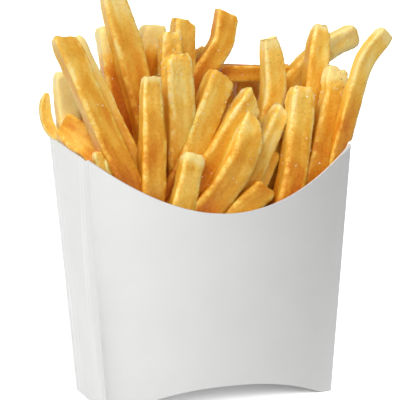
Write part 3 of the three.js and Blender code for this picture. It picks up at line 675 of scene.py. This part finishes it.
def twice_fried_potato():
    """Starch and sugar browned in oil: cream to amber, with light passing a little way in, oily."""
    finish, add = new_finish("twice_fried_potato")
    place = add("ShaderNodeTexCoord").outputs["Object"]
    stick = add("ShaderNodeAttribute", (), {"attribute_name": "stick"}).outputs["Vector"]
    tone, edge, crust = (add("ShaderNodeAttribute", (), {"attribute_name": name}).outputs["Fac"]
                         for name in ("tone", "edge", "crust"))
    lengthwise = add("ShaderNodeMapping", {"Vector": stick, "Scale": (1.0, 1.0, BAND_STRETCH)})
    # Where each pattern is laid, its size in millimetres, its detail and its roughness
    patterns = {"patches": (stick, 10.0, 1.0, 0.5), "bands": (lengthwise, 3.0, 1.0, 0.5),
                "mottle": (stick, 1.1, 3.0, 0.75), "broken": (place, 3.4, 4.0, 0.7),
                "specks": (place, 1.1, 2.0, 0.5), "wrinkles": (place, 1.2, 4.0, 0.75)}
    noise = {}
    for name, (laid, size, detail, rough) in patterns.items():
        noise[name] = add(NOISE, {"Vector": laid, "Scale": METRE / size, "Detail": detail,
                                  "Roughness": rough})
    # What each pattern adds to the browning, or gives, over which span of its noise
    spans = {"patches": (noise["patches"], 0.3, 0.7, -0.14, 0.06),
             "bands": (noise["bands"], 0.35, 0.75, 0.03, -0.2),
             "mottle": (noise["mottle"], 0.3, 0.7, -0.08, 0.06),
             "corners": (edge, 0.66, 1.0, 0.0, -0.36),
             "broken": (noise["broken"], 0.4, 0.62, 0.05, 1.0),
             "burnt": (noise["specks"], 0.6, 0.74, 0.0, 0.7),
             "gloss": (noise["patches"], 0.3, 0.7, 0.36, 0.55)}
    eased = {}
    for name, (value, *ends) in spans.items():
        eased[name] = add("ShaderNodeMapRange", {"Value": value, **dict(zip(SPAN, ends))},
                          {"interpolation_type": "SMOOTHSTEP"})
    # The corners are painted lighter, in broken lengths: a painted highlight where the ridges catch the light
    painted_ridge_highlight = add(MATH, (eased["corners"], eased["broken"]), MULTIPLY)
    browned = tone
    for part in (eased["patches"], eased["bands"], eased["mottle"], painted_ridge_highlight):
        browned = add(MATH, (browned, part), ADD)
    colour = add("ShaderNodeValToRGB", {"Fac": browned})
    ramp = colour.color_ramp.elements
    ramp[0].position, ramp[1].position = BROWNING[0][0], BROWNING[-1][0]
    for at, _ in BROWNING[1:-1]:
        ramp.new(at)
    for element, (_, code) in zip(ramp, BROWNING):
        element.color = linear(code)
    burnt = add(MATH, (eased["burnt"], crust), MULTIPLY)
    skin = add(MIX, {"Factor": burnt, "A": colour.outputs["Color"], "B": linear(TOASTED)},
               {"data_type": "RGBA"})
    wrinkled = {"Distance": SKIN_WRINKLE / METRE, "Height": noise["wrinkles"]}
    bump = add(BUMP, {"Strength": 0.8, **wrinkled})
    film = add(BUMP, {"Strength": 0.9, **wrinkled})
    shader = add("ShaderNodeBsdfPrincipled", {
        "Base Color": skin, "Roughness": eased["gloss"], "IOR": OIL_IOR, "Specular IOR Level": 0.3,
        "Normal": bump, "Subsurface Weight": 0.5, "Subsurface Radius": (1.0, 0.55, 0.15),
        "Subsurface Scale": LIGHT_DEPTH / METRE, "Coat Weight": 0.2, "Coat Roughness": 0.15,
        "Coat IOR": OIL_IOR, "Coat Normal": film})
    add("ShaderNodeOutputMaterial", {"Surface": shader})
    return finish


fried = twice_fried_potato()
sweep = fry_tree()
groups = {"front_fries": FRIES[:13], "middle_fries": FRIES[13:25], "back_fries": FRIES[25:]}
standing = []
for name, rows in groups.items():
    made = grown(name, axes_object(name + "_lines", rows), sweep, {"Finish": fried})
    press_clear_of_board(made)
    standing.append(made)

# ---- Core ----------------------------------------------------------------------------------------
# Below the fries that show, the carton is packed with more of them, so close that their gaps are
# dark. Their mass is one body of the same potato, in the carton's own inner form.

CORE_TOP, CORE_TURNS, CORE_RINGS = 62.0, 96, 12
CORNERED = 1.25                         # how far the round of the core is drawn out into the corners
TOP_RINGS, BOTTOM_RINGS = (0.85, 0.65, 0.45, 0.25, 0.05), (0.05, 0.3, 0.6, 0.85)
HEAPED, HEAP_WIDE, HEAP_DEEP = 2.0, 3.1, 2.7
CORE_FRIED = {"tone": 0.7, "edge": 0.0, "crust": 0.2}


def core_mesh():
    turns = np.linspace(0, 2 * math.pi, CORE_TURNS + 1)[:-1]
    across = np.clip(np.cos(turns) * CORNERED, -1, 1)
    side = np.clip(np.sin(turns) * CORNERED, -1, 1)
    room = BOARD + GAP + FOLD_IN
    rings = []
    for share in np.linspace(0, 1, CORE_RINGS):
        foot = arch_height(across) + BOARD + GAP
        z = foot + (CORE_TOP - foot) * share
        x = across * (half_width(z) - room)
        y = side * (panel_reach(across, z) - room) + LEAN_BACK * rise(z)
        rings.append(np.stack([x, y, z], axis=1))
    bottom, top = rings[0], rings[-1]
    hub = top.mean(axis=0)
    for share in TOP_RINGS:
        ring = hub + (top - hub) * share
        ring[:, 2] += HEAPED * np.sin(ring[:, 0] / HEAP_WIDE) * np.cos(ring[:, 1] / HEAP_DEEP)
        rings.append(ring)
    hub = bottom.mean(axis=0)
    lower = []
    for share in BOTTOM_RINGS:
        ring = hub + (bottom - hub) * share
        ring[:, 2] = arch_height(np.clip(ring[:, 0] / FOOT_HALF, -1, 1)) + BOARD + GAP
        lower.append(ring)
    rings = np.array(lower + rings)
    last = (len(rings) - 1) * CORE_TURNS
    quads = ring_quads(len(rings), CORE_TURNS).tolist()
    quads += [list(range(CORE_TURNS))[::-1], list(range(last, last + CORE_TURNS))]
    return rings.reshape(-1, 3), quads


core_points, core_faces = core_mesh()
core_body = bpy.data.meshes.new("packed_core")
core_body.from_pydata(((core_points + MIDDLE) / METRE).tolist(), [], core_faces)
core_body.shade_smooth()
core_body.materials.append(fried)
for name, value in CORE_FRIED.items():
    field = core_body.attributes.new(name, "FLOAT", "POINT").data
    field.foreach_set("value", np.full(len(core_points), value, np.float32))
core = placed("packed_core", core_body)

# ---- Short fries ---------------------------------------------------------------------------------
# A potato's ends and corners give short sticks, and the scoop holds those too. They stand upright
# between the long fries in rows across the carton, wherever no long fry passes, and fill its mouth.

FILL_LEVEL, FILL_TIP, FILL_RISE = 80.0, 88.0, 16.0
FILL_WIDTH, FILL_PITCH, FILL_LEAN, FILL_CLEARANCE = 8.5, 12.0, 8.0, 6.0
FILL_ROWS = (-10, 0, 10, 20, 30)
FILL_ROLL, FILL_TONE, FILL_DARKER, FILL_POINTS = 90, 0.45, 0.3, 32
EVEN_A, EVEN_B = 0.618, 0.414           # steps that spread a count evenly over 0 to 1
WEDGED = dict(mouth=(22.5, -8, 76), tip=(28.5, -5.5, 96), wide=6.5, thick=6, tone=0.68, crust=0.4)


def axis_at(fry, level):
    """Where a fry's axis passes a level below its tip."""
    start, stop = np.array(fry["mouth"], float), np.array(fry["tip"], float)
    along = unit(stop - start)
    if along[2] < UPRIGHT:
        return start
    other = foot_of(start, along) if start[2] > level else stop
    return other + (start - other) * (level - other[2]) / (start[2] - other[2])


def short_fries():
    """Rows of short fries, and one that leans in the gap behind the front row."""
    taken = [axis_at(fry, FILL_LEVEL) for fry in FRIES]
    found = []
    for row, deep in enumerate(FILL_ROWS):
        columns = int(half_width(FILL_LEVEL) / FILL_PITCH)
        for column in range(-columns, columns + 1):
            place = np.array([(column + row % 2 / 2) * FILL_PITCH, deep, FILL_LEVEL])
            across = place[0] / half_width(FILL_LEVEL)
            room = panel_reach(across, FILL_LEVEL) - WALL_REACH
            off_middle = abs(deep - LEAN_BACK * rise(FILL_LEVEL))
            inside = abs(across) < 1 - WALL_REACH / MOUTH_HALF and off_middle < room
            if not inside or min(np.linalg.norm(place - other) for other in taken) <= FILL_CLEARANCE:
                continue
            spread_a, spread_b = len(found) * EVEN_A % 1, len(found) * EVEN_B % 1
            top = FILL_TIP + spread_a * FILL_RISE * row / (len(FILL_ROWS) - 1)
            tip = (place[0] + (spread_b - 0.5) * FILL_LEAN, deep, top)
            found.append(dict(mouth=tuple(place), tip=tip, wide=FILL_WIDTH, thick=FILL_WIDTH, pale=2,
                              roll=spread_b * FILL_ROLL, tone=FILL_TONE + FILL_DARKER * spread_a, crust=0.4))
    return found + [WEDGED]


short_lines = axes_object("short_lines", short_fries())
short = grown("short_fries", short_lines, sweep, {"Finish": fried, "Section points": FILL_POINTS})
press_clear_of_board(short)

# ---- Salt ----------------------------------------------------------------------------------------
# Fine table salt, shaken over the hot fries, whose oil holds it: cubic grains half sunk in the crust,
# in loose drifts where it fell.

SALT_INPUTS = {"Carrier": "Geometry", "Fries": "Collection", "Spacing": 5.4 / METRE, "Grain": 0.42 / METRE,
               "Drift": 14.0 / METRE, "Lowest": 72.0 / METRE, "Seed": 5, "Finish": "Material"}
OVERHANG = -0.25                        # salt clings to skin that looks down no more than this
DRIFTING = {"From Min": 0.45, "From Max": 0.7, "To Min": 0.05, "To Max": 1.5}
HOLD, LEAST_HOLD = 12.0, 0.2            # how much more of it a rough crust holds than plain skin
GRAIN_SHAPE = {"Y": 0.85, "Z": 0.7}     # a grain's other sides, as shares of its longest
SALT_IOR = 1.544


def group_of(name, members):
    group = bpy.data.collections.new(name)
    bpy.context.scene.collection.children.link(group)
    for made in members:
        group.objects.link(made)
    return group


def salt_tree():
    """Geometry Nodes: points on the skin that looks up and out of the carton, each with a grain."""
    tree, add, given = new_tree("salt_on_the_crust", SALT_INPUTS, "Salt")
    skin = add("GeometryNodeCollectionInfo", {"Collection": given["Fries"]})
    skin = add("GeometryNodeRealizeInstances", {"Geometry": skin})
    place = add("GeometryNodeInputPosition")
    normal = add("GeometryNodeInputNormal")
    level, facing = (add("ShaderNodeSeparateXYZ", {"Vector": way}).outputs["Z"] for way in (place, normal))
    above = add(MATH, (level, given["Lowest"]), GREATER)
    upward = add(MATH, (facing, OVERHANG), GREATER)
    open_to_air = add(MATH, (above, upward), MULTIPLY)

    scale = add(MATH, (1.0, given["Drift"]), DIVIDE)
    drift = add(NOISE, {"Vector": place, "Scale": scale, "Detail": 2.0})
    drift = add("ShaderNodeMapRange", {"Value": drift, **DRIFTING})
    crusty = add(READ, {"Name": "crust"}, {"data_type": "FLOAT"})
    held = add(MATH, (crusty, crusty), MULTIPLY)
    held = add(MATH, (held, HOLD), MULTIPLY)
    held = add(MATH, (held, LEAST_HOLD), ADD)
    gathered = add(MATH, (drift, held), MULTIPLY)
    patch = add(MATH, (given["Spacing"], given["Spacing"]), MULTIPLY)
    density = add(MATH, (gathered, patch), DIVIDE)
    spots = add("GeometryNodeDistributePointsOnFaces", {
        "Mesh": skin, "Selection": open_to_air, "Density": density, "Seed": given["Seed"]})

    sides = {axis: add(MATH, (given["Grain"], share), MULTIPLY) for axis, share in GRAIN_SHAPE.items()}
    size = add("ShaderNodeCombineXYZ", {"X": given["Grain"], **sides})
    grain = add("GeometryNodeMeshCube", {"Size": size}).outputs["Mesh"]
    turned = add("FunctionNodeRandomValue", {
        "Min": (0.0,) * 3, "Max": (2 * math.pi,) * 3, "Seed": given["Seed"]}, {"data_type": "FLOAT_VECTOR"})
    other_seed = add(MATH, (given["Seed"], 1.0), ADD)
    sized = add("FunctionNodeRandomValue", {"Min": 0.5, "Max": 1.25, "Seed": other_seed},
                {"data_type": "FLOAT"})
    salted = add("GeometryNodeInstanceOnPoints", {
        "Points": spots, "Instance": grain, "Rotation": turned, "Scale": sized})
    salted = add("GeometryNodeRealizeInstances", {"Geometry": salted})
    salted = add("GeometryNodeSetMaterial", {"Geometry": salted, "Material": given["Finish"]})
    add("NodeGroupOutput", {"Salt": salted})
    return tree


def table_salt():
    """Evaporated table salt: clear little cubes, white where they scatter the light, with a glint."""
    finish, add = new_finish("table_salt")
    place = add("ShaderNodeTexCoord").outputs["Object"]
    cloudy = add(NOISE, {"Vector": place, "Scale": METRE / 1.0, "Detail": 1.0})
    white = add(MIX, {"Factor": cloudy, "A": linear("#F3E3C2"), "B": linear("#FFFDF8")},
                {"data_type": "RGBA"})
    shader = add("ShaderNodeBsdfPrincipled", {"Base Color": white, "Roughness": 0.25, "IOR": SALT_IOR})
    add("ShaderNodeOutputMaterial", {"Surface": shader})
    return finish


fries_only = group_of("fries_only", standing + [short])
bare = placed("salt_carrier", bpy.data.meshes.new("salt_carrier"))
salt = grown("salt_grains", bare, salt_tree(), {"Fries": fries_only, "Finish": table_salt()})
for made in (core, salt):
    fries_only.objects.link(made)

for made in standing + [core, short, salt]:
    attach(made, "root")
    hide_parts("fries")

# ---- Floor, light and camera ---------------------------------------------------------------------
# A matt white sweep of painted board, large soft lamps and a camera on its stand. Board, fries and
# sweep are each lit by lamps of their own, as flags and snoots part them in a studio, so that the
# white board keeps its shading and the fries their gloss. The camera looks down from the left.

FLOOR_HALF, FLOOR_WHITE = 6000.0, "#F4F4F4"
LAMP_WHITE, LAMP_WARM = "#FFFFFF", "#FFE0B0"
FILL_LIGHT = 0.24                       # the room's even light, as a share of white
CAMERA_PLACE, CAMERA_AIM = (-265.1, -678.1, 210.4), (-1.71, 0.0, 73.23)
LENS, SENSOR = 180.0, 36.0


def matt_white_sweep():
    """Emulsion paint rolled on board: flat white, without any gloss."""
    finish, add = new_finish("matt_white_sweep")
    shader = add("ShaderNodeBsdfDiffuse", {"Color": linear(FLOOR_WHITE)})
    add("ShaderNodeOutputMaterial", {"Surface": shader})
    return finish


corners = np.array([(-1, -1, 0), (1, -1, 0), (1, 1, 0), (-1, 1, 0)]) * FLOOR_HALF - MIDDLE
floor = piece("studio_floor", corners, np.array([[0, 1, 2, 3]]), matt_white_sweep())
floor.visible_diffuse = False

board_only = group_of("board_only", [carton])
ground_only = group_of("ground_only", [floor])

# Each lamp: its azimuth, height and spread in degrees, what it gives a surface square to it as a
# share of white, its colour, and the pieces that it lights and those that shade it, if not all
LAMPS = {
    "board_key": (-145.0, 30.0, 30.0, 0.59, LAMP_WHITE, board_only, board_only),
    "board_fill": (-125.0, 30.0, 30.0, 0.32, LAMP_WHITE, board_only, board_only),
    "fries_key": (-156.0, 45.0, 70.0, 0.59, LAMP_WHITE, fries_only, None),
    "fries_glint": (-135.0, 55.0, 4.0, 0.18, LAMP_WHITE, fries_only, None),
    "fries_front": (-100.0, 16.0, 50.0, 0.28, LAMP_WARM, fries_only, None),
    "fries_back": (30.0, 45.0, 50.0, 0.34, LAMP_WARM, fries_only, None),
    "fries_low": (-178.0, 3.0, 50.0, 0.2, LAMP_WARM, fries_only, None),
    "board_back": (65.0, 35.0, 60.0, 0.6, LAMP_WHITE, board_only, None),
    "overhead": (0.0, 90.0, 120.0, 0.95, LAMP_WHITE, ground_only, None),
    "ground_front": (-90.0, 14.0, 60.0, 3.1, LAMP_WHITE, ground_only, None),
}
for name, (azimuth, height, spread, share, colour, lit, shading) in LAMPS.items():
    lamp = bpy.data.lights.new(name, "SUN")
    lamp.angle, lamp.energy = math.radians(spread), math.pi * share
    lamp.color = linear(colour)[:3]
    made = placed(name, lamp)
    made.rotation_euler = (math.radians(90 - height), 0, math.radians(azimuth + 90))
    made.light_linking.receiver_collection = lit
    made.light_linking.blocker_collection = shading

surroundings = bpy.data.worlds.new("studio")
surroundings.use_nodes = True
sky = surroundings.node_tree.nodes["Background"].inputs
sky["Color"].default_value, sky["Strength"].default_value = (1.0, 1.0, 1.0, 1.0), FILL_LIGHT
bpy.context.scene.world = surroundings
bpy.context.scene.view_settings.view_transform = "Standard"

lens = bpy.data.cameras.new("camera")
lens.lens, lens.sensor_width = LENS, SENSOR
camera = placed("camera", lens)
place, aim = ((np.array(point) + MIDDLE) / METRE for point in (CAMERA_PLACE, CAMERA_AIM))
camera.location = place
camera.rotation_euler = Vector(aim - place).to_track_quat("-Z", "Y").to_euler()
bpy.context.scene.camera = camera
